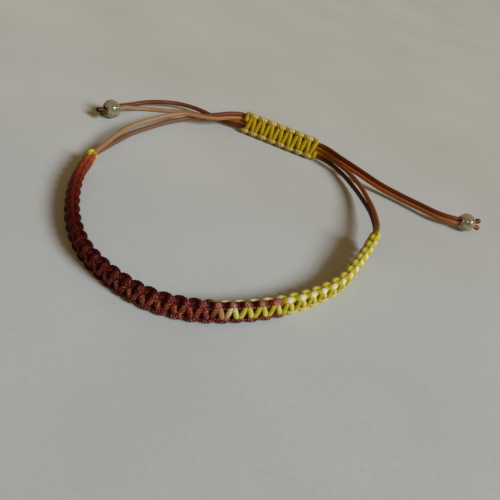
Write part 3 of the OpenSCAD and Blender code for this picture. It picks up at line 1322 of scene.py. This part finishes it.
@dataclass
class Bead:
    """Drilled bead with softened rims."""

    side: str
    seat: StraightCarrier
    finish: Material
    rim: float = 0.00018
    end_gap: float = 0.00003
    around: int = 64
    steps: int = 28

    def _profile(self) -> Array:
        """Closed outline.

        Returns:
            Distance along the hole and radius, a row each.
        """
        bore, half, radius = BEAD_BORE / 2, BEAD_LENGTH / 2, BEAD_DIAMETER / 2
        mouth = math.acos(min(1.0, (bore + self.rim) / radius))
        edge = min(mouth, math.asin(min(1.0, (half - self.end_gap) / radius)))
        angles = np.linspace(-edge, edge, self.steps)
        outside = [(radius * math.sin(angle), radius * math.cos(angle)) for angle in angles]
        rim = [
            (half, outside[-1][1] - 0.5 * self.rim),
            (half, bore + 0.6 * self.rim),
            (half - 0.25 * self.rim, bore + 0.15 * self.rim),
            (half - self.rim, bore),
        ]
        start_rim = [(-along, out) for along, out in reversed(rim)]
        return np.array([*start_rim, *outside, *rim])

    def build(self) -> Object:
        """Turns the outline round the hole.

        Returns:
            The bead.
        """
        profile = self._profile()
        axis = heading_vector(self.seat.heading)
        level = np.array([-axis[1], axis[0], 0.0])
        angles = np.arange(self.around) * 2 * math.pi / self.around
        ring = np.cos(angles)[:, None] * level + np.sin(angles)[:, None] * np.array([0.0, 0.0, 1.0])
        points = np.array(self.seat.start) + profile[:, :1, None] * axis + profile[:, 1:, None] * ring
        faces = ring_faces(len(profile), self.around, closed=True)
        name = f"bead_{self.side}_turned"
        LOG.info("%s: %d faces", name, len(faces))
        return dressed(skinned(name, points, faces.tolist(), self.finish), f"bead_{self.side}")


# Stage


@dataclass(frozen=True)
class Studio:
    """Camera at the photo's angle, soft light and a pale table."""

    camera_place: Point = (-0.0035, -0.1062, 0.0760)
    pitch: float = 39.5
    roll: float = 18.5
    lens: float = 37.8
    sensor: float = 36.0
    clip_start: float = 0.001
    to_light: Point = (1.38, -0.44, 1.0)
    sun_spread: float = 22.0
    sun_strength: float = 3.6
    sun_colour: Colour = (0.79, 0.895, 1.0)
    fill_colour: Colour = (1.0, 0.68, 0.3)
    fill_strength: float = 0.235
    table_half: float = 3.0

    def camera(self) -> None:
        """Sets up the camera."""
        data = bpy.data.cameras.new("photo_camera")
        data.sensor_width = self.sensor
        data.lens = self.lens
        data.clip_start = self.clip_start
        tilt = Matrix.Rotation(math.radians(90 - self.pitch), 4, "X")
        turn = Matrix.Rotation(math.radians(self.roll), 4, "Z")
        made = placed("photo_camera", data)
        made.matrix_world = Matrix.Translation(self.camera_place) @ tilt @ turn
        bpy.context.scene.camera = made

    def lights(self) -> None:
        """Sets up the soft key light and the warm fill."""
        data = bpy.data.lights.new("soft_key", "SUN")
        data.energy = self.sun_strength
        data.angle = math.radians(self.sun_spread)
        data.color = self.sun_colour
        placed("soft_key", data).rotation_euler = Vector(self.to_light).to_track_quat("Z", "Y").to_euler()
        world = bpy.data.worlds.new("warm_fill")
        world.use_nodes = True
        background = world.node_tree.nodes["Background"]
        background.inputs["Color"].default_value = (*self.fill_colour, 1.0)
        background.inputs["Strength"].default_value = self.fill_strength
        bpy.context.scene.world = world

    def table(self) -> None:
        """Lays the table top."""
        half = self.table_half
        corners = [(-half, -half, 0), (half, -half, 0), (half, half, 0), (-half, half, 0)]
        finish = TableFinish("pale_table", light=display(195, 195, 192), dark=display(187, 186, 182))
        skinned("table_top", np.array(corners), [(0, 1, 2, 3)], finish.material())

    def build(self) -> None:
        """Sets up the whole stage."""
        self.camera()
        self.lights()
        self.table()
        bpy.context.scene.view_settings.view_transform = "Standard"


# Knot paths (along, across and outward), shifts along the band (row, part of a row) and cord colours

BAND_PATTERN = KnotPattern((
    (0.0, 0.0, 0.00092),
    (-0.00022, 0.00060, 0.00090),
    (-0.00044, 0.00110, 0.00066),
    (-0.00052, 0.00140, 0.00012),
    (-0.00038, 0.00156, -0.00036),
    (0.00004, 0.00168, -0.00066),
    (0.00040, 0.00174, -0.00080),
    (0.0007325, 0.00176, -0.00086),
))
SLIDE_PATTERN = KnotPattern((
    (0.0, 0.0, 0.00092),
    (-0.00012, 0.00090, 0.00092),
    (-0.00026, 0.00170, 0.00088),
    (-0.00040, 0.00222, 0.00064),
    (-0.00046, 0.00252, 0.00024),
    (-0.00036, 0.00268, -0.00024),
    (0.00004, 0.00274, -0.00062),
    (0.00040, 0.00278, -0.00090),
    (0.0007325, 0.00280, -0.00104),
))
BAND_DRIFT = (
    (0, 0), (8, 0), (13, -0.05), (16, -0.15), (18, -0.2), (25, -0.2), (27, -0.08), (29, 0), (34, 0),
    (36, -0.15), (38, -0.25), (41, -0.25),
)
# Painted shade: inside the band the rows are dark maroon, then olive, and inside the sliding knot olive
# gold, so the gaps between strands look shaded.
COPPER_SHADES: CordShades = {
    Anchor.RIGHT_TIP: ((0, 164, 94, 46),),
    Anchor.RIGHT_SLIDE: ((-2, 150, 70, 16), (2, 150, 118, 10)),
    Anchor.BAND_START: (
        (-10, 160, 92, 34), (-4, 160, 126, 90), (0, 150, 106, 72), (1, 70, 18, 6), (9, 60, 14, 5),
        (10, 104, 78, 10),
    ),
    Anchor.BAND_END: ((0, 112, 88, 10), (2, 146, 78, 24)),
    Anchor.LEFT_SLIDE: ((-4, 150, 82, 28), (-1, 150, 118, 10), (1, 152, 96, 52)),
    # Painted shade: the cord darkens through the left bead to its tip, shaded by the bead.
    Anchor.LEFT_TIP: ((-2, 154, 120, 86), (-1, 96, 60, 32), (0, 80, 46, 22)),
}
# Painted shade: rows inside the band and the sliding knot coloured as the shaded gaps between the strands.
BROWN_SHADES: CordShades = {
    Anchor.RIGHT_TIP: ((0, 120, 56, 22),),
    Anchor.RIGHT_SLIDE: ((-2, 86, 28, 4), (2, 132, 100, 8)),
    Anchor.BAND_START: (
        (-10, 104, 46, 14), (-4, 122, 84, 62), (0, 118, 76, 56), (1, 62, 14, 4), (9, 54, 10, 3),
        (10, 90, 66, 8),
    ),
    Anchor.BAND_END: ((0, 96, 74, 8), (2, 88, 34, 10)),
    Anchor.LEFT_SLIDE: ((-4, 86, 32, 8), (-1, 132, 100, 8), (1, 100, 44, 14)),
    # Painted shade: the cord darkens at the tip beside the left bead, shaded by the bead.
    Anchor.LEFT_TIP: ((-2, 112, 56, 26), (0, 60, 30, 14)),
}


def main() -> None:
    """Builds the stage and every piece of the bracelet."""
    logging.basicConfig(level=logging.INFO, format="%(name)s %(message)s")
    Studio().build()
    layout = Layout()
    route = Route(layout.rows())
    LOG.info("route: %.1f mm", 1000 * route.length)
    knot_cord = CordFinish(
        "knotting_cord", roughness=0.38, sheen=0.01, filament_scale=5.0, filament_dark=0.6,
        relief=0.00004, gloss=0.1,
    ).material()
    core_cord = CordFinish(
        "core_cord", roughness=0.36, sheen=0.02, filament_scale=7.0, filament_dark=0.78,
        relief=0.00002, gloss=0.24,
    ).material()
    smoky = BeadFinish(
        "smoky_bead", clear=display(212, 202, 168), cloudy=display(190, 178, 140), roughness=0.1,
        transmission=0.78,
    ).material()
    beads = {
        "right_tail": Bead("right", layout.bead_right, smoky).build(),
        "left_tail": Bead("left", layout.bead_left, smoky).build(),
    }
    CoreCord("a", 1, layout, route, COPPER_SHADES, "copper_core", core_cord).build(beads)
    CoreCord("b", -1, layout, route, BROWN_SHADES, "brown_core", core_cord).build(beads)
    KnottedSleeve(
        carrier=route,
        start=route.distance_to(layout.row_of(Anchor.BAND_START)),
        stretches=(
            Stretch("band_dark", "dark_cord", 0, DARK_KNOTS),
            Stretch("band_yellow", "yellow_cord", DARK_KNOTS, BAND_KNOTS),
        ),
        pattern=BAND_PATTERN,
        half_width=0.0023,
        half_thickness=0.00142,
        tint=band_tint,
        strand=Section(radius=0.00055, sides=12, plies=3, groove=0.24, turn=0.00135),
        finish=knot_cord,
        drift=BAND_DRIFT,
        slant=0.025,
    ).build()
    KnottedSleeve(
        carrier=layout.slide,
        start=0.0,
        stretches=(Stretch("slide_knot", "yellow_cord", 0, SLIDE_KNOTS),),
        pattern=SLIDE_PATTERN,
        half_width=0.00325,
        half_thickness=0.00148,
        tint=slide_tint,
        strand=Section(radius=0.0007, sides=12, plies=3, groove=0.24, turn=0.0015),
        finish=knot_cord,
    ).build()


if __name__ == "__main__":
    main()
